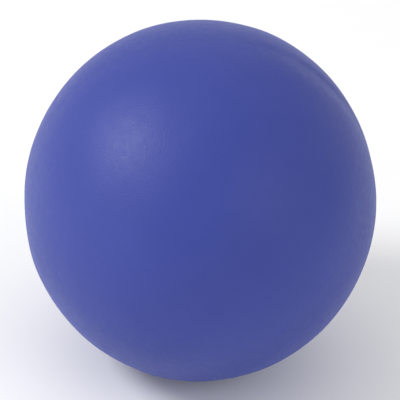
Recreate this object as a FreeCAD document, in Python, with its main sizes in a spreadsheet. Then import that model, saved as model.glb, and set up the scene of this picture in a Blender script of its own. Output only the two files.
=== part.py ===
import FreeCAD, Part
import Sketcher
import os

# Stress ball: a squeezable hand ball, moulded in one shot of integral-skin polyurethane foam.
#
# Frame: +Z up. The origin is the middle of the small flat on which the ball rests.
# The mould had a front half and a back half. They met in the vertical plane y = 0, the
# parting plane. The front half faces -Y, and the foam was poured in at the +Y pole.
#
# Every layer is bounded by a blank: a sphere whose underside is flattened by the ball's own
# weight. The blanks differ only in their inset, the depth below the painted surface, so the
# layers fit one another without a gap.

DIMENSIONS = {
    "ball_diameter": 63.5,      # a nominal two and a half inches
    "rest_flat_depth": 0.18,    # how far the underside is pressed flat
    "coat_thickness": 0.6,      # paint film with the pore layer that it soaks into
    "rind_thickness": 1.6,      # dense skin of the foam
    "crease_width": 0.9,        # gap between the two coats along the parting plane
    "bead_height": 0.25,        # trimmed flash that stands on the crease's floor
    "gate_diameter": 6.0,       # pour hole
    "dab_height": 0.1,          # touch-up paint above the painted surface
    "vent_diameter": 1.6,       # air vents of the mould
    "vent_offset": 20.0,        # from the pour hole, up and down
    "stub_height": 0.12,        # cut vent stubs above the painted surface
    "margin": 10.0,             # how far a cutting block runs past the ball
}

# The blanks, from the outside in, each with its inset.
BLANK_INSETS = {
    "stub_top": "-dims.stub_height",
    "dab_top": "-dims.dab_height",
    "painted": "0 mm",
    "moulded": "dims.coat_thickness",
    "cellular": "dims.coat_thickness + dims.rind_thickness",
}

CENTRE_HEIGHT = "(dims.ball_diameter / 2 - dims.rest_flat_depth)"
REACH = "(dims.ball_diameter / 2 + dims.margin)"
START, END, CENTRE = 1, 2, 3  # point numbers in a sketch constraint
SKETCH_ORIGIN = -1            # the sketch's own origin
VERTICAL_AXIS = -2            # the sketch's own vertical axis
MOST_CUT_FOR_FLAT = 0.01      # a flat takes less than this share of the sphere

doc = FreeCAD.newDocument("stress_ball")

dims = doc.addObject("Spreadsheet::Sheet", "dims")
for row, (alias, value) in enumerate(DIMENSIONS.items(), start=1):
    dims.set(f"A{row}", alias)
    dims.set(f"B{row}", f"{value} mm")
    dims.setAlias(f"B{row}", alias)
doc.recompute()


def sketch_on(body, name, role):
    """An empty sketch on one of the body's origin planes."""
    sketch = body.newObject("Sketcher::SketchObject", name)
    plane = next(o for o in body.Origin.OriginFeatures if o.Role == role)
    sketch.AttachmentSupport = [(plane, "")]
    sketch.MapMode = "FlatFace"
    return sketch


def drive(sketch, kind, *where, name, formula):
    """Add a dimension to a sketch that follows a formula of the spreadsheet's values."""
    index = sketch.addConstraint(Sketcher.Constraint(kind, *where))
    sketch.renameConstraint(index, name)
    sketch.setExpression(f"Constraints.{name}", formula)


def draw_centred_square(sketch, half_side):
    """A square about the sketch's origin. half_side is a formula."""
    start = DIMENSIONS["ball_diameter"]
    corners = [(-start, -start), (start, -start), (start, start), (-start, start)]
    points = [FreeCAD.Vector(x, y, 0) for x, y in corners]
    lines = [
        sketch.addGeometry(Part.LineSegment(point, points[(n + 1) % 4]), False)
        for n, point in enumerate(points)
    ]
    for n, line in enumerate(lines):
        following = lines[(n + 1) % 4]
        direction = "Vertical" if n % 2 else "Horizontal"
        sketch.addConstraint(Sketcher.Constraint("Coincident", line, END, following, START))
        sketch.addConstraint(Sketcher.Constraint(direction, line))
    sketch.addConstraint(
        Sketcher.Constraint("Symmetric", lines[0], START, lines[2], START, SKETCH_ORIGIN, START)
    )
    for name, line in (("length", lines[0]), ("width", lines[1])):
        drive(sketch, "Distance", line, 2 * start, name=name, formula=f"2 * {half_side}")


def make_blank(name, inset):
    """A sphere that lies the inset below the painted surface, with a flat underside."""
    body = doc.addObject("PartDesign::Body", f"blank_{name}")
    ball = body.newObject("PartDesign::AdditiveSphere", f"ball_{name}")
    ball.setExpression("Radius", f"dims.ball_diameter / 2 - ({inset})")
    ball.setExpression("AttachmentOffset.Base.z", CENTRE_HEIGHT)
    ball.setExpression("Placement.Base.z", CENTRE_HEIGHT)
    doc.recompute()

    square = sketch_on(body, f"underside_{name}", "XY_Plane")
    square.setExpression("AttachmentOffset.Base.z", inset)
    draw_centred_square(square, REACH)
    flat = body.newObject("PartDesign::Pocket", f"flat_{name}")
    flat.Profile = square
    flat.Type = "ThroughAll"
    doc.recompute()
    taken = 1 - flat.Shape.Volume / ball.Shape.Volume
    if not 0 < taken < MOST_CUT_FOR_FLAT:
        raise ValueError(f"the underside of {name} isn't cut as it should be")
    return body


def make_bead():
    """A ring about the ball in the parting plane, padded to both sides of it."""
    body = doc.addObject("PartDesign::Body", "bead")
    rings = sketch_on(body, "bead_rings", "XZ_Plane")
    start_radius = DIMENSIONS["ball_diameter"] / 2
    start_centre = FreeCAD.Vector(0, start_radius, 0)
    inner_radius = "dims.ball_diameter / 2 - dims.coat_thickness"
    outer_radius = f"{inner_radius} + dims.bead_height"
    normal = FreeCAD.Vector(0, 0, 1)
    for name, radius in (("inner", inner_radius), ("outer", outer_radius)):
        ring = rings.addGeometry(Part.Circle(start_centre, normal, start_radius), False)
        rings.addConstraint(Sketcher.Constraint("PointOnObject", ring, CENTRE, VERTICAL_AXIS))
        drive(rings, "DistanceY", ring, CENTRE, start_radius,
              name=f"{name}_height", formula=CENTRE_HEIGHT)
        drive(rings, "Radius", ring, start_radius, name=f"{name}_radius", formula=radius)
    pad = body.newObject("PartDesign::Pad", "bead_pad")
    pad.Profile = rings
    pad.SideType = "Symmetric"
    pad.setExpression("Length", "dims.crease_width")
    return body


def make_block(name, low_y, high_y):
    """A block that spans the ball along X and Z, from low_y to high_y."""
    block = doc.addObject("Part::Box", name)
    block.setExpression("Length", f"2 * {REACH}")
    block.setExpression("Width", f"{high_y} - {low_y}")
    block.setExpression("Height", f"2 * {REACH}")
    block.setExpression("Placement.Base.x", f"-{REACH}")
    block.setExpression("Placement.Base.y", low_y)
    block.setExpression("Placement.Base.z", f"{CENTRE_HEIGHT} - {REACH}")
    return block


def make_rod(name, diameter, height):
    """A rod along +Y from the parting plane out past the back of the ball."""
    rod = doc.addObject("Part::Cylinder", name)
    rod.Placement = FreeCAD.Placement(
        FreeCAD.Vector(), FreeCAD.Rotation(FreeCAD.Vector(1, 0, 0), -90)
    )
    rod.setExpression("Radius", f"{diameter} / 2")
    rod.setExpression("Height", REACH)
    rod.setExpression("Placement.Base.z", height)
    return rod


def cut(name, base, tool):
    """The base without the tool."""
    feature = doc.addObject("Part::Cut", name)
    feature.Base = base
    feature.Tool = tool
    return feature


def common(name, base, tool):
    """What the base and the tool share."""
    feature = doc.addObject("Part::Common", name)
    feature.Base = base
    feature.Tool = tool
    return feature


blanks = {name: make_blank(name, inset) for name, inset in BLANK_INSETS.items()}

half_crease = "dims.crease_width / 2"
front_of_crease = make_block("front_of_crease", f"-{REACH}", f"-{half_crease}")
back_of_crease = make_block("back_of_crease", half_crease, REACH)

gate_rod = make_rod("gate_rod", "dims.gate_diameter", CENTRE_HEIGHT)
vent_rods = {
    "vent_stub_upper": make_rod(
        "upper_vent_rod", "dims.vent_diameter", f"{CENTRE_HEIGHT} + dims.vent_offset"
    ),
    "vent_stub_lower": make_rod(
        "lower_vent_rod", "dims.vent_diameter", f"{CENTRE_HEIGHT} - dims.vent_offset"
    ),
}
mould_holes = doc.addObject("Part::MultiFuse", "mould_holes")
mould_holes.Shapes = [gate_rod, *vent_rods.values()]

# Foam: a soft cellular core inside a dense rind. The rind has the mould's holes.
rind_layer = cut("rind_layer", blanks["moulded"], blanks["cellular"])
foam_rind = cut("drilled_rind", rind_layer, mould_holes)

# Paint: one coat from each mould half, up to the crease. The back one has the holes too.
coat_layer = cut("coat_layer", blanks["painted"], blanks["moulded"])
front_coat = common("front_film", coat_layer, front_of_crease)
back_film = common("back_film", coat_layer, back_of_crease)
back_coat = cut("drilled_film", back_film, mould_holes)

# Flash: a low bead all round, on the floor of the crease between the coats.
parting_bead = make_bead()

# Pour hole: the foam neck is cut off level with the rind, and a dab of paint covers it.
gate_stub = common("gate_neck", rind_layer, gate_rod)
dab_layer = cut("dab_layer", blanks["dab_top"], blanks["moulded"])
touch_up_dab = common("dab_disc", dab_layer, gate_rod)

# Air vents: each foam whisker is cut off a little above the paint.
stub_layer = cut("stub_layer", blanks["stub_top"], blanks["cellular"])
vent_stubs = {
    name: common(f"{name}_whisker", stub_layer, rod) for name, rod in vent_rods.items()
}

pieces = {
    "foam_core": blanks["cellular"],
    "foam_rind": foam_rind,
    "front_coat": front_coat,
    "back_coat": back_coat,
    "parting_bead": parting_bead,
    "gate_stub": gate_stub,
    "touch_up_dab": touch_up_dab,
    **vent_stubs,
}
for name, piece in pieces.items():
    piece.Label = name
doc.recompute()

for item in doc.Objects:
    if "Invalid" in item.State or "Error" in item.State:
        raise ValueError(f"{item.Name} did not recompute: {item.State}")
for name, piece in pieces.items():
    shape = piece.Shape
    if shape.isNull() or not shape.isValid() or len(shape.Solids) != 1:
        raise ValueError(f"{name} is not one sound solid")

os.makedirs("parts", exist_ok=True)
for name, piece in pieces.items():
    piece.Shape.exportStep(f"parts/{name}.step")
    box = piece.Shape.BoundBox
    print(
        f"{name}: {piece.Shape.Volume:.2f} mm3,"
        f" x {box.XMin:.2f} to {box.XMax:.2f},"
        f" y {box.YMin:.2f} to {box.YMax:.2f},"
        f" z {box.ZMin:.2f} to {box.ZMax:.2f}"
    )
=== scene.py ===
import bmesh
import bpy
import math
import numpy as np
from mathutils import Matrix, Vector


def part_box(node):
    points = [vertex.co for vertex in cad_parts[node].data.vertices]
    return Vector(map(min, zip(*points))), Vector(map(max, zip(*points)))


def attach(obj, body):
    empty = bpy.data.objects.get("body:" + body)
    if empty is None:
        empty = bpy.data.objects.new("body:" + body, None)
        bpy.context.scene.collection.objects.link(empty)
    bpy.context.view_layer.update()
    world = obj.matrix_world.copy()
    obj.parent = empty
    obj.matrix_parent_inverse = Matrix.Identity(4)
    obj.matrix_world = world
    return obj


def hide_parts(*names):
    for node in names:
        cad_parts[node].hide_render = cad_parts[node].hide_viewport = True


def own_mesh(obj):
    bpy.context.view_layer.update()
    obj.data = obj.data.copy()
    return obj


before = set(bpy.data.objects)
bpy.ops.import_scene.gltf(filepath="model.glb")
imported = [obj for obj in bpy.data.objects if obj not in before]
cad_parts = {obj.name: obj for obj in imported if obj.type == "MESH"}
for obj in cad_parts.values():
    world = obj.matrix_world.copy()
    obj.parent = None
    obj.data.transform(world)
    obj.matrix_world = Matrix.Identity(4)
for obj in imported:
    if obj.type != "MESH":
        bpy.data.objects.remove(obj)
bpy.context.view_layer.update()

# ---------------------------------------------------------------------------------------
# Sizes, in millimetres. The mesh code works in millimetres about the ball's centre.
# ---------------------------------------------------------------------------------------
MM = 0.001
coat_low, coat_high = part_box("front_coat")
core_low, core_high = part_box("foam_core")
rind_low, rind_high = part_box("foam_rind")
gate_low, gate_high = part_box("gate_stub")
RADIUS = (coat_high.x - coat_low.x) / 2 / MM
CENTRE_Z = coat_high.z / MM - RADIUS
RIND_DEPTH = RADIUS - (rind_high.x - rind_low.x) / 2 / MM
CORE_DEPTH = RADIUS - (core_high.x - core_low.x) / 2 / MM
GATE_RADIUS = (gate_high.x - gate_low.x) / 2 / MM

WIDTH_SHARE = 0.9715        # the ball is a little narrower along X than it is tall
FLOOR_BLEND = 0.05          # how softly the underside flattens onto the floor
CREASE_HALF = 0.16          # from the middle of the crease to a coat's edge
EDGE_DIP = 0.004            # how far a coat's edge rolls down into the crease
ROLL_WIDTH = 0.5            # over which a coat rolls down to its edge
VALLEY_DEPTH = 0.016        # the soft valley along the crease
VALLEY_RIPPLE = 0.010       # how much its depth comes and goes
VALLEY_STEEP = 1.5          # its width on the back half
VALLEY_SLOW = 3.4           # and on the front half
COAT_INNER_DEPTH = 0.56     # depth of a coat's inner face
BEAD_ROOT = 0.58            # depth of the bead's underside
OVERLAP = 0.02              # by which neighbouring pieces reach into each other
PLUG_OVERLAP = 0.05         # by which the rind and the stubs reach into their neighbours

COAT_GRID = 280             # points along each side of a coat's square grid
SHELL_GRID = 46             # and of a foam layer's
BEAD_POINTS = 900           # round the bead
DISC_POINTS = 72            # round a disc piece
DISC_RINGS = 14             # from its rim to its middle
INNER_RINGS = 14            # across a coat's inner face

rng = np.random.default_rng(63)


# ---------------------------------------------------------------------------------------
# Directions. A direction is a unit vector from the ball's centre, and phi is the angle
# round Y from +X.
# ---------------------------------------------------------------------------------------
def unit(vectors):
    return vectors / np.linalg.norm(vectors, axis=-1, keepdims=True)


def direction(azimuth, elevation):
    """Unit vector. Azimuth 0 is the front pole, -Y, and 90 is +X."""
    a, e = math.radians(azimuth), math.radians(elevation)
    return np.array([math.sin(a) * math.cos(e), -math.cos(a) * math.cos(e), math.sin(e)])


def tangent_axes(n):
    """Sideways and upward directions on the surface at one direction."""
    side = unit(np.cross([0.0, 0.0, 1.0], n))
    return side, np.cross(n, side)


def round_pole(theta, phi, sign):
    """Directions at angle theta from a pole. sign is -1 for the front pole."""
    return np.stack(
        [np.sin(theta) * np.cos(phi), sign * np.cos(theta), np.sin(theta) * np.sin(phi)], axis=1
    )


def off_plane(phi, y):
    """Directions in the ring at angle phi, y millimetres off the parting plane."""
    tilt = y / RADIUS
    flat = np.cos(tilt)
    return np.stack([flat * np.cos(phi), np.sin(tilt), flat * np.sin(phi)], axis=1)


def mm_off_plane(n):
    """How far directions lie off the parting plane, in millimetres along the surface."""
    return np.arcsin(np.clip(n[:, 1], -1, 1)) * RADIUS


# ---------------------------------------------------------------------------------------
# The crease: its line wanders a little off the parting plane, and so does its width
# ---------------------------------------------------------------------------------------
# (cycles round the ball, height, phase) of each wave
LINE_WAVES = [(2, 0.10, 0.4), (3, 0.08, 2.1), (7, 0.055, 4.0), (13, 0.035, 1.2), (29, 0.018, 3.3)]
FRONT_WAVES = [(5, 0.035, 1.0), (17, 0.03, 0.2), (37, 0.016, 2.2), (61, 0.010, 5.0)]
BACK_WAVES = [(4, 0.035, 3.0), (19, 0.03, 1.7), (41, 0.016, 0.9), (67, 0.010, 2.6)]
BEAD_WAVES = [(53, 0.02, 1.1), (91, 0.014, 0.0), (23, 0.012, 2.0)]


def wander(phi, waves):
    """A closed curve's offset at angles phi."""
    return sum(height * np.sin(cycles * phi + phase) for cycles, height, phase in waves)


def crease_line(phi):
    return wander(phi, LINE_WAVES)


def coat_edge(phi, sign):
    """Distance along +Y from the parting plane to a coat's edge. sign is -1 for the front."""
    own = wander(phi, FRONT_WAVES if sign < 0 else BACK_WAVES)
    return crease_line(phi) + sign * (CREASE_HALF + own)


def roll_depth(from_edge):
    """How far a coat dips at a distance from its own edge: a small round shoulder."""
    share = np.clip(1 - from_edge / ROLL_WIDTH, 0, 1)
    return EDGE_DIP * share**3


# phi, depth and width in degrees of the stretches where the valley is deepest
VALLEY_DEEPS = [
    (47, 0.29, 21),
    (200, 0.05, 16),
    (-60, 0.10, 30),
]
VALLEY_CYCLES = 5
VALLEY_PHASE = 1.0


def valley(n):
    """Depth of the soft valley along the crease. It nearly fades away in places."""
    phi = np.arctan2(n[:, 2], n[:, 0])
    depth = VALLEY_DEPTH + VALLEY_RIPPLE * np.sin(VALLEY_CYCLES * phi + VALLEY_PHASE)
    for middle, rise, width in VALLEY_DEEPS:
        apart = np.angle(np.exp(1j * (phi - math.radians(middle))))
        depth += rise * np.exp(-((np.degrees(apart) / width) ** 2))
    apart = mm_off_plane(n) - crease_line(phi)
    width = np.where(apart > 0, VALLEY_STEEP, VALLEY_SLOW)
    return depth * np.exp(-((apart / width) ** 2))


# ---------------------------------------------------------------------------------------
# Relief: how far the painted surface stands above or below the even shape, by direction
# ---------------------------------------------------------------------------------------
WAVES_PER_BAND = 14
SHORTEST, LONGEST = 0.75, 1.35      # spread of the waves' frequencies within one band


def make_band(wavelength, height):
    """Headings and phases of the waves that add up to one band of unevenness."""
    heading = unit(rng.normal(size=(WAVES_PER_BAND, 3)))
    stretch = rng.uniform(SHORTEST, LONGEST, size=(WAVES_PER_BAND, 1))
    turns = heading * stretch * (2 * math.pi * RADIUS / wavelength)
    phases = rng.uniform(0, 2 * math.pi, size=WAVES_PER_BAND)
    return turns, phases, height * math.sqrt(2 / WAVES_PER_BAND)


def band_height(band, n):
    turns, phases, height = band
    total = np.zeros(len(n))
    for turn, phase in zip(turns, phases):
        total += np.sin(n @ turn + phase)
    return total * height


# wavelength and height of each band: slow foam unevenness down to orange peel
BANDS = [
    make_band(26.0, 0.050),
    make_band(13.0, 0.022),
    make_band(6.5, 0.006),
    make_band(3.2, 0.0018),
    make_band(1.7, 0.0009),
]

# azimuth, elevation, height and width in degrees of each broad swelling or flat
SWELLINGS = [
    (181, 60, -0.12, 11),
    (-89, -3, -0.08, 12),
    (-80, -22, 0.20, 14),
    (-67, -40, 0.10, 12),
    (109, 68, 0.08, 12),
    (50, -42, -0.14, 14),
    (11, -56, -0.10, 11),
    (180, 0, -0.12, 9),
    (180, 39, -0.07, 4),
    (180, -39, -0.07, 4),
]

# azimuth, elevation, depth and radius of pinholes left by burst bubbles
PINHOLES = [
    (-39, 38, 0.085, 0.34),
    (-32, 68, 0.030, 0.26),
    (12, 7, 0.030, 0.28),
    (118, 22, 0.060, 0.30),
    (203, 48, 0.050, 0.26),
    (161, -31, 0.070, 0.33),
    (-128, 12, 0.040, 0.25),
    (64, -52, 0.050, 0.30),
]
LIP_HEIGHT = 0.18           # a pinhole's raised lip, as a share of its depth
LIP_REACH = 1.9             # and how far out it runs, in pinhole radii

# azimuth, elevation, length, width and slant in degrees of shallow scuffs
SCUFFS = [
    (-68, 41, 3.0, 0.35, 62),
    (-63, 39, 2.2, 0.30, 70),
    (-58, 38, 1.6, 0.28, 48),
    (80, 26, 3.4, 0.40, 84),
    (81, 14, 2.6, 0.36, 75),
    (150, 20, 3.0, 0.40, 30),
    (-150, -25, 2.4, 0.34, 110),
]
SCUFF_DEPTH = 0.012


def swelling_height(n, azimuth, elevation, rise, width):
    apart = np.degrees(np.arccos(np.clip(n @ direction(azimuth, elevation), -1, 1)))
    return rise * np.exp(-((apart / width) ** 2))


def pinhole_height(n, azimuth, elevation, depth, radius):
    """A small round pit with a faint lip about it."""
    apart = np.linalg.norm(n - direction(azimuth, elevation), axis=1) * RADIUS
    pit = depth * np.exp(-((apart / radius) ** 2))
    lip = depth * LIP_HEIGHT * np.exp(-(((apart - LIP_REACH * radius) / radius) ** 2))
    return lip - pit


def scuff_height(n, azimuth, elevation, length, width, slant):
    """A shallow straight groove, soft at its ends."""
    middle = direction(azimuth, elevation)
    side, up = tangent_axes(middle)
    turn = math.radians(slant)
    along = (n @ side * math.cos(turn) + n @ up * math.sin(turn)) * RADIUS
    across = (n @ up * math.cos(turn) - n @ side * math.sin(turn)) * RADIUS
    mark = np.exp(-((2 * along / length) ** 2) - ((across / width) ** 2))
    return np.where(n @ middle > 0, -SCUFF_DEPTH * mark, 0)


def relief(n):
    """Height of the painted surface above the even shape at directions n."""
    height = -valley(n)
    for band in BANDS:
        height += band_height(band, n)
    for swelling in SWELLINGS:
        height += swelling_height(n, *swelling)
    for pinhole in PINHOLES:
        height += pinhole_height(n, *pinhole)
    for scuff in SCUFFS:
        height += scuff_height(n, *scuff)
    return height


def place(n, depth):
    """Points in metres at directions n and a depth below the paint, flattened at the floor."""
    scale = np.array([WIDTH_SHARE, 1.0, 1.0])
    points = n * scale * (RADIUS - depth + relief(n))[:, None]
    points[:, 2] += CENTRE_Z
    floor = np.maximum(depth, 0)
    over = points[:, 2] - floor
    flattened = floor + 0.5 * (over + np.sqrt(over**2 + FLOOR_BLEND**2))
    points[:, 2] = np.where(n[:, 2] < 0, flattened, points[:, 2])
    return points * MM


# ---------------------------------------------------------------------------------------
# Mesh parts
# ---------------------------------------------------------------------------------------
def make_object(name, vertices, faces, material):
    mesh = bpy.data.meshes.new(name)
    mesh.from_pydata(np.concatenate(vertices).tolist(), [], faces)
    mesh.validate()
    mesh.polygons.foreach_set("use_smooth", [True] * len(mesh.polygons))
    mesh.materials.append(material)
    mesh.update()
    piece = bpy.data.objects.new(name, mesh)
    bpy.context.scene.collection.objects.link(piece)
    return piece


def turn_outward(piece):
    """Make every face of a closed mesh without a cavity look outward."""
    work = bmesh.new()
    work.from_mesh(piece.data)
    bmesh.ops.recalc_face_normals(work, faces=work.faces)
    work.to_mesh(piece.data)
    work.free()
    return piece


def weld(piece):
    """Join the two halves of a shell along their shared rim."""
    work = bmesh.new()
    work.from_mesh(piece.data)
    bmesh.ops.remove_doubles(work, verts=work.verts, dist=0.01 * MM)
    work.to_mesh(piece.data)
    work.free()
    return piece


def square_to_disc(count):
    """A square grid of points carried onto the unit disc, with even cells."""
    line = np.linspace(-1, 1, count)
    u, v = np.meshgrid(line, line, indexing="ij")
    u, v = u.ravel(), v.ravel()
    wide = np.abs(u) >= np.abs(v)
    radius = np.where(wide, u, v)
    tiny = 1e-12
    safe_u = np.where(np.abs(u) < tiny, tiny, u)
    safe_v = np.where(np.abs(v) < tiny, tiny, v)
    angle = np.where(wide, math.pi / 4 * v / safe_u, math.pi / 2 - math.pi / 4 * u / safe_v)
    x, y = radius * np.cos(angle), radius * np.sin(angle)
    return np.hypot(x, y), np.arctan2(y, x)


def grid_faces(count):
    faces = []
    for i in range(count - 1):
        for j in range(count - 1):
            a = i * count + j
            faces.append((a, a + 1, a + count + 1, a + count))
    return faces


def rim_indices(count):
    """The grid's border, once round."""
    last = count - 1
    side_one = [i * count for i in range(last)]
    side_two = [last * count + j for j in range(last)]
    side_three = [i * count + last for i in range(last, 0, -1)]
    side_four = [j for j in range(last, 0, -1)]
    return side_one + side_two + side_three + side_four


def strip(first, second):
    """Faces between two closed rings of vertex numbers."""
    total = len(first)
    return [
        (first[k], first[(k + 1) % total], second[(k + 1) % total], second[k])
        for k in range(total)
    ]


def fan(ring, tip):
    """Faces between a closed ring of vertex numbers and one point."""
    return [(ring[k], ring[(k + 1) % len(ring)], tip) for k in range(len(ring))]


def dome_directions(count, sign, last_y):
    """Directions over one half. last_y(phi) is the rim, measured off the parting plane."""
    radius, phi = square_to_disc(count)
    last = math.pi / 2 - sign * last_y(phi) / RADIUS
    theta = 2 * np.arcsin(radius * np.sin(last / 2))
    return round_pole(theta, phi, sign), phi


# ---------------------------------------------------------------------------------------
# The pieces' meshes
# ---------------------------------------------------------------------------------------
GRID_FROM_EDGE = 0.55       # a coat's grid stops here, and rings go on to its edge
SHOULDER_STEPS = (0.42, 0.31, 0.22, 0.14, 0.08, 0.035, 0.0)     # from the edge, mm
EDGE_TURN = ((0.0, 0.30), (0.05, COAT_INNER_DEPTH))             # (from the edge, depth)


def make_coat(name, sign, material):
    """One half's paint: a dome, a rounded edge at the crease and a plain inner face."""
    n, phi = dome_directions(COAT_GRID, sign, lambda p: coat_edge(p, sign) + sign * GRID_FROM_EDGE)
    from_edge = sign * (mm_off_plane(n) - coat_edge(phi, sign))
    vertices = [place(n, roll_depth(from_edge))]
    faces = grid_faces(COAT_GRID)
    ring = rim_indices(COAT_GRID)
    around = len(ring)
    phi = phi[ring]
    edge = coat_edge(phi, sign)

    shoulder = [(distance, roll_depth(distance)) for distance in SHOULDER_STEPS]
    for distance, depth in (*shoulder, *EDGE_TURN):
        vertices.append(place(off_plane(phi, edge + sign * distance), np.full(around, depth)))
    inner_edge = math.pi / 2 - sign * (edge + sign * EDGE_TURN[-1][0]) / RADIUS
    for step in range(1, INNER_RINGS):
        theta = inner_edge * (1 - step / INNER_RINGS)
        vertices.append(place(round_pole(theta, phi, sign), np.full(around, COAT_INNER_DEPTH)))

    total = len(n)
    for _ in vertices[1:]:
        following = list(range(total, total + around))
        faces += strip(ring, following)
        ring = following
        total += around
    vertices.append(place(np.array([[0.0, sign, 0.0]]), np.array([COAT_INNER_DEPTH])))
    faces += fan(ring, total)
    return turn_outward(make_object(name, vertices, faces, material))


def make_shell(name, outer, inner, material):
    """A closed ball at one depth, or with an inner depth as well a hollow one."""
    vertices, faces, total = [], [], 0
    for depth in (outer, inner):
        if depth is None:
            continue
        for sign in (-1, 1):
            n, _ = dome_directions(SHELL_GRID, sign, lambda p: np.zeros(len(p)))
            vertices.append(place(n, np.full(len(n), depth)))
            quads = grid_faces(SHELL_GRID)
            if (sign > 0) != (depth == inner):
                quads = [quad[::-1] for quad in quads]
            faces += [tuple(k + total for k in quad) for quad in quads]
            total += len(n)
    return weld(make_object(name, vertices, faces, material))


BEAD_ACROSS = (-1.0, -0.75, -0.45, -0.15, 0.15, 0.45, 0.75, 1.0)    # shares of its half width
BEAD_SINK = 0.004           # how far the bead's edges lie below the coats' edges
BEAD_RAGGED = 0.2           # how much of its own waves the bead shows


def make_bead(name, material):
    """The trimmed flash in the crease: a low, uneven ridge that fills between the coats."""
    phi = np.linspace(0, 2 * math.pi, BEAD_POINTS, endpoint=False)
    front = coat_edge(phi, -1) - OVERLAP
    back = coat_edge(phi, 1) + OVERLAP
    middle, half_width = (front + back) / 2, (back - front) / 2
    crest = BEAD_SINK + BEAD_RAGGED * wander(phi, BEAD_WAVES)
    rings = []
    for share in BEAD_ACROSS:
        top = EDGE_DIP + BEAD_SINK - crest * math.cos(share * math.pi / 2)
        rings.append(place(off_plane(phi, middle + share * half_width), top))
    for share in (1.0, -1.0):
        root = np.full(BEAD_POINTS, BEAD_ROOT)
        rings.append(place(off_plane(phi, middle + share * half_width), root))
    faces = []
    for k in range(len(rings)):
        first = [k * BEAD_POINTS + m for m in range(BEAD_POINTS)]
        second = [(k + 1) % len(rings) * BEAD_POINTS + m for m in range(BEAD_POINTS)]
        faces += strip(first, second)
    return turn_outward(make_object(name, rings, faces, material))


# (cycles, height, phase) of an uneven rim, as shares of the unevenness
RIM_WAVES = [(3, 0.5, 0.5), (5, 0.3, 2.0), (11, 0.2, 0.0)]


def make_disc(name, azimuth, elevation, radius, bottom, top_of, material, uneven=0.0):
    """A round piece set into the surface. top_of(share, phi) is its top's height over the
    paint, where share runs from 0 in the middle to 1 at the rim, and bottom is its depth."""
    middle = direction(azimuth, elevation)
    side, up = tangent_axes(middle)
    phi = np.linspace(0, 2 * math.pi, DISC_POINTS, endpoint=False)
    rim = radius * (1 + uneven * wander(phi, RIM_WAVES)) / RADIUS
    heading = np.cos(phi)[:, None] * side + np.sin(phi)[:, None] * up

    def ring_at(share, depth):
        return place(unit(middle + (rim * share)[:, None] * heading), depth)

    vertices = [ring_at(share, -top_of(share, phi))
                for share in np.linspace(1, 0, DISC_RINGS, endpoint=False)]
    vertices.append(place(middle[None, :], -top_of(0.0, np.zeros(1))))
    vertices.append(ring_at(1.0, np.full(DISC_POINTS, bottom)))

    rings = [list(range(k * DISC_POINTS, (k + 1) * DISC_POINTS)) for k in range(DISC_RINGS)]
    tip = DISC_RINGS * DISC_POINTS
    base = list(range(tip + 1, tip + 1 + DISC_POINTS))
    faces = []
    for first, second in zip(rings, rings[1:]):
        faces += strip(first, second)
    faces += fan(rings[-1], tip)
    faces += strip(base, rings[0])
    faces.append(tuple(reversed(base)))
    return turn_outward(make_object(name, vertices, faces, material))


DAB_HEIGHT = 0.085
BRUSH_HEIGHT = 0.020
BRUSH_RIDGES = 9            # turns of the brush ridges from middle to rim, in radians
BRUSH_SWEEP = 2.5           # how far the ridges bend to one side, in radians
STUB_HEIGHT = 0.12
STUB_SLANT = 0.02


def dab_top(share, phi):
    """A brushed dab: proud in the middle, thin at the rim, with faint brush ridges."""
    ridges = BRUSH_HEIGHT * np.sin(share * BRUSH_RIDGES + BRUSH_SWEEP * np.cos(phi))
    return DAB_HEIGHT * (1 - share**4) + ridges * (1 - share**2)


def stub_top(share, phi):
    """A blade-cut whisker: nearly flat, with a soft shoulder, and cut a little aslant."""
    return STUB_HEIGHT * (1 - share**6) + STUB_SLANT * share * np.cos(phi) - STUB_SLANT


def plug_top(share, phi):
    """The cut gate's end: flat, and under the dab and the paint."""
    return np.full(np.shape(phi), -RIND_DEPTH - OVERLAP)


# ---------------------------------------------------------------------------------------
# Materials. Scales are in cells to the metre and bump heights in metres.
# ---------------------------------------------------------------------------------------
# scale, detail and roughness of each noise
DRIFT = (70, 3, 0.55)
MOTTLE = (520, 2, 0.5)
SPECK = (3300, 1, 0.5)
PEEL = (4300, 1, 0.5)
GLOSS = (900, 3, 0.6)
STAIN = (160, 4, 0.6)
PORE_SCALE = 1500
PAINT_SPECULAR = 0.37
FOAM_SPECULAR = 0.2
FOAM_ROUGHNESS = 0.92
SHEEN_WEIGHT = 0.15
SHEEN_ROUGHNESS = 0.25
SHEEN_TINT = (0.10, 0.20, 1.0, 1)
GLOSS_SPREAD = 0.05         # how far the paint's roughness strays either way
PEEL_HEIGHT = 0.0001
PORE_HEIGHT = 0.00004
CELL_HEIGHT = 0.0003


def new_material(name, colour, roughness, specular):
    material = bpy.data.materials.new(name)
    material.use_nodes = True
    nodes = material.node_tree.nodes
    shader = nodes["Principled BSDF"]
    shader.inputs["Base Color"].default_value = (*colour, 1)
    shader.inputs["Roughness"].default_value = roughness
    shader.inputs["Specular IOR Level"].default_value = specular
    return material, nodes, material.node_tree.links, shader


def noise(nodes, links, spot, scale, detail, rough):
    """A noise's value, in the piece's own coordinates."""
    node = nodes.new("ShaderNodeTexNoise")
    node.inputs["Scale"].default_value = scale
    node.inputs["Detail"].default_value = detail
    node.inputs["Roughness"].default_value = rough
    links.new(spot, node.inputs["Vector"])
    return node.outputs["Fac"]


def cells(nodes, links, spot, scale):
    """The distance to the nearest of scattered points, in the piece's own coordinates."""
    node = nodes.new("ShaderNodeTexVoronoi")
    node.inputs["Scale"].default_value = scale
    links.new(spot, node.inputs["Vector"])
    return node.outputs["Distance"]


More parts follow.
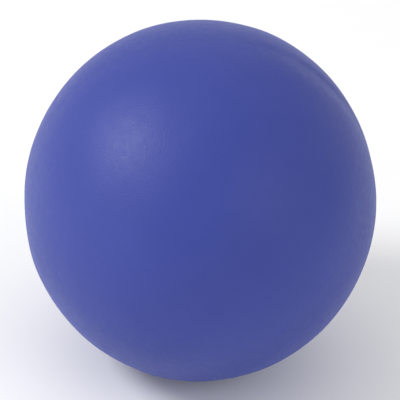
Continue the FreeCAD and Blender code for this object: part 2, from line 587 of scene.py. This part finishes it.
def remap(nodes, links, source, start, end, to_start, to_end):
    """A value's span from start to end carried onto the span from to_start to to_end."""
    node = nodes.new("ShaderNodeMapRange")
    node.inputs["From Min"].default_value = start
    node.inputs["From Max"].default_value = end
    node.inputs["To Min"].default_value = to_start
    node.inputs["To Max"].default_value = to_end
    links.new(source, node.inputs["Value"])
    return node.outputs["Result"]


def mix_colour(nodes, links, share, first, second):
    """Two colours mixed by a share. A colour is a tuple or another node's output."""
    node = nodes.new("ShaderNodeMix")
    node.data_type = "RGBA"
    links.new(share, node.inputs["Factor"])
    for socket, value in (("A", first), ("B", second)):
        target = next(i for i in node.inputs if i.name == socket and i.type == "RGBA")
        if isinstance(value, tuple):
            target.default_value = (*value, 1)
        else:
            links.new(value, target)
    return next(o for o in node.outputs if o.type == "RGBA")


def bump(nodes, links, source, strength, distance, before=None):
    node = nodes.new("ShaderNodeBump")
    node.inputs["Strength"].default_value = strength
    node.inputs["Distance"].default_value = distance
    links.new(source, node.inputs["Height"])
    if before is not None:
        links.new(before, node.inputs["Normal"])
    return node.outputs["Normal"]


def paint(name, colour, deeper, paler, roughness, grain):
    """Sprayed elastic paint: fine peel, scattered pores and slow colour drift."""
    material, nodes, links, shader = new_material(name, colour, roughness, PAINT_SPECULAR)
    shader.inputs["Sheen Weight"].default_value = SHEEN_WEIGHT
    shader.inputs["Sheen Roughness"].default_value = SHEEN_ROUGHNESS
    shader.inputs["Sheen Tint"].default_value = SHEEN_TINT
    spot = nodes.new("ShaderNodeTexCoord").outputs["Object"]

    drift = noise(nodes, links, spot, *DRIFT)
    mottle = noise(nodes, links, spot, *MOTTLE)
    speck = noise(nodes, links, spot, *SPECK)
    tone = mix_colour(nodes, links, remap(nodes, links, drift, 0.36, 0.64, 0, 1), deeper, paler)
    tone = mix_colour(nodes, links, remap(nodes, links, mottle, 0.35, 0.65, 0, 0.5), tone, colour)
    tone = mix_colour(nodes, links, remap(nodes, links, speck, 0.55, 0.75, 0, 0.35), tone, paler)
    links.new(tone, shader.inputs["Base Color"])

    peel = noise(nodes, links, spot, *PEEL)
    pores = remap(nodes, links, cells(nodes, links, spot, PORE_SCALE), 0.0, 0.28, 0, 1)
    normal = bump(nodes, links, peel, grain, PEEL_HEIGHT)
    normal = bump(nodes, links, pores, grain / 2, PORE_HEIGHT, normal)
    links.new(normal, shader.inputs["Normal"])

    gloss = noise(nodes, links, spot, *GLOSS)
    least, most = roughness - GLOSS_SPREAD, roughness + GLOSS_SPREAD
    links.new(remap(nodes, links, gloss, 0.3, 0.7, least, most), shader.inputs["Roughness"])
    return material


def foam(name, colour, deeper, cell_scale, grain):
    """Bare polyurethane foam: rounded cells whose mouths are painted darker as painted shade in the
    pores, yellowed in patches.
    """
    material, nodes, links, shader = new_material(name, colour, FOAM_ROUGHNESS, FOAM_SPECULAR)
    spot = nodes.new("ShaderNodeTexCoord").outputs["Object"]
    pore_shade_and_relief = remap(nodes, links, cells(nodes, links, spot, cell_scale), 0.1, 0.6, 0, 1)
    stain = remap(nodes, links, noise(nodes, links, spot, *STAIN), 0.4, 0.7, 0, 0.6)
    yellowed = (colour[0] * 0.95, colour[1] * 0.86, colour[2] * 0.62)
    # the cells' mouths take the deeper colour: painted shade in the pores, while the same values also
    # drive the bump
    tone = mix_colour(nodes, links, pore_shade_and_relief, deeper, colour)
    tone = mix_colour(nodes, links, stain, tone, yellowed)
    links.new(tone, shader.inputs["Base Color"])
    links.new(bump(nodes, links, pore_shade_and_relief, grain, CELL_HEIGHT), shader.inputs["Normal"])
    return material


# name, colour, deeper colour, paler colour, roughness and grain
blue_paint = paint(
    "sprayed_blue", (0.0290, 0.0474, 0.281), (0.0280, 0.0457, 0.273), (0.0315, 0.0508, 0.289),
    0.46, 0.5,
)
# The crease bead's paint is a little darker than the coats' paint: painted shade in the crease.
crease_paint_painted_shade = paint(
    "crease_blue_painted_shade", (0.0280, 0.0458, 0.273), (0.0265, 0.0434, 0.263), (0.0300, 0.0484, 0.281),
    0.5, 0.4,
)
dab_paint = paint(
    "brushed_blue", (0.024, 0.040, 0.236), (0.022, 0.037, 0.225), (0.028, 0.046, 0.256),
    0.36, 0.25,
)
# name, colour, deeper colour (painted shade in the cells' mouths), cells to the metre and grain
core_foam = foam("open_cell_foam", (0.80, 0.74, 0.55), (0.52, 0.45, 0.29), 1400, 0.8)
rind_foam = foam("skin_foam", (0.72, 0.66, 0.48), (0.55, 0.48, 0.33), 3200, 0.4)

# ---------------------------------------------------------------------------------------
# Pieces
# ---------------------------------------------------------------------------------------
BACK_POLE = 180             # azimuth
DAB_MARGIN = 0.6            # how far the dab reaches past the gate


def settle(piece, body, node):
    """Tie a piece to its body, hide its CAD node's part, and give the piece its own copy of its mesh.
    """
    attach(piece, body)
    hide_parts(node)
    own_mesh(piece)


front = make_coat("front_paint", -1, blue_paint)
back = make_coat("back_paint", 1, blue_paint)
bead = make_bead("crease_bead", crease_paint_painted_shade)
core = make_shell("cellular_core", CORE_DEPTH + OVERLAP, None, core_foam)
rind = make_shell("dense_rind", RIND_DEPTH + PLUG_OVERLAP, CORE_DEPTH - OVERLAP, rind_foam)
settle(front, "front_half", "front_coat")
settle(back, "back_half", "back_coat")
settle(bead, "middle", "parting_bead")
settle(core, "middle", "foam_core")
settle(rind, "middle", "foam_rind")

STUB_BOTTOM = CORE_DEPTH - PLUG_OVERLAP
dab = make_disc(
    "touch_up", BACK_POLE, 0, GATE_RADIUS + DAB_MARGIN, OVERLAP, dab_top, dab_paint, uneven=0.09
)
settle(dab, "back_half", "touch_up_dab")
stub = make_disc("gate_plug", BACK_POLE, 0, GATE_RADIUS, STUB_BOTTOM, plug_top, rind_foam)
settle(stub, "back_half", "gate_stub")
for name in ("upper", "lower"):
    vent_low, vent_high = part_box(f"vent_stub_{name}")
    vent_radius = (vent_high.x - vent_low.x) / 2 / MM
    rise = ((vent_low.z + vent_high.z) / 2 / MM - CENTRE_Z) / RADIUS
    elevation = math.degrees(math.asin(rise))
    vent = make_disc(
        f"vent_{name}", BACK_POLE, elevation, vent_radius, STUB_BOTTOM, stub_top, rind_foam,
        uneven=0.05,
    )
    settle(vent, "back_half", f"vent_stub_{name}")

# ---------------------------------------------------------------------------------------
# Floor, light and camera
# ---------------------------------------------------------------------------------------
FLOOR_HALF = 3.0            # metres
WORLD_STRENGTH = 0.71

floor_corners = [(x * FLOOR_HALF, y * FLOOR_HALF, 0) for x, y in ((-1, -1), (1, -1), (1, 1), (-1, 1))]
floor_mesh = bpy.data.meshes.new("floor")
floor_mesh.from_pydata(floor_corners, [], [(0, 1, 2, 3)])
floor = bpy.data.objects.new("floor", floor_mesh)
bpy.context.scene.collection.objects.link(floor)
floor_material, _, _, _ = new_material("pale_floor", (0.92, 0.92, 0.92), 0.9, 0.1)
floor_mesh.materials.append(floor_material)
bpy.context.scene.view_settings.view_transform = "Standard"

world = bpy.data.worlds.new("studio")
bpy.context.scene.world = world
world.use_nodes = True
sky = world.node_tree.nodes["Background"]
sky.inputs["Color"].default_value = (1, 1, 1, 1)
sky.inputs["Strength"].default_value = WORLD_STRENGTH

VIEW_AZIMUTH = -6.25
VIEW_ELEVATION = 29.9
VIEW_LEAN = 4.4             # the picture's upright leans this far to the right
LENS = 245.0                # millimetres, on a sensor 36 wide
SENSOR = 36.0
DISTANCE = 0.478            # metres
CLIP_START = 0.01

toward_camera = Vector(direction(VIEW_AZIMUTH, VIEW_ELEVATION))
turn = math.radians(VIEW_AZIMUTH)
to_right = Vector((math.cos(turn), math.sin(turn), 0))
to_top = toward_camera.cross(to_right)
ball_centre = Vector((0, 0, CENTRE_Z * MM))

# direction as seen from the camera (right, up, back), distance and size in metres, watts
SOFTBOXES = {
    "key": (-0.73, 0.48, 0.50, 0.7, 0.27, 2.60),
    "fill_left": (-0.80, -0.05, 0.60, 0.9, 0.60, 0.55),
    "front_right": (0.70, 0.10, 0.70, 0.9, 0.60, 1.10),
    "top": (0.00, 0.95, 0.30, 0.9, 0.80, 0.45),
    "rim_right": (0.80, 0.50, -0.33, 0.9, 0.40, 0.14),
    "back": (0.00, 0.50, -0.86, 0.9, 0.80, 0.38),
}


def softbox(name, right, up, back, distance, size, power):
    """A round area light placed by its direction as seen from the camera, aimed at the ball."""
    light = bpy.data.lights.new(name, "AREA")
    light.shape = "DISK"
    light.size = size
    light.energy = power
    lamp = bpy.data.objects.new(name, light)
    bpy.context.scene.collection.objects.link(lamp)
    heading = (to_right * right + to_top * up + toward_camera * back).normalized()
    lamp.location = ball_centre + heading * distance
    lamp.visible_camera = False
    lamp.rotation_mode = "QUATERNION"
    lamp.rotation_quaternion = (-heading).to_track_quat("-Z", "Y")


for name, placing in SOFTBOXES.items():
    softbox(name, *placing)

camera_data = bpy.data.cameras.new("camera")
camera_data.lens = LENS
camera_data.sensor_width = SENSOR
camera_data.clip_start = CLIP_START
camera = bpy.data.objects.new("camera", camera_data)
bpy.context.scene.collection.objects.link(camera)
camera.location = ball_centre + toward_camera * DISTANCE
lean = Matrix.Rotation(math.radians(VIEW_LEAN), 3, toward_camera)
basis = Matrix((to_right, to_top, toward_camera)).transposed()
camera.rotation_mode = "QUATERNION"
camera.rotation_quaternion = (lean @ basis).to_quaternion()
bpy.context.scene.camera = camera

bpy.context.view_layer.update()
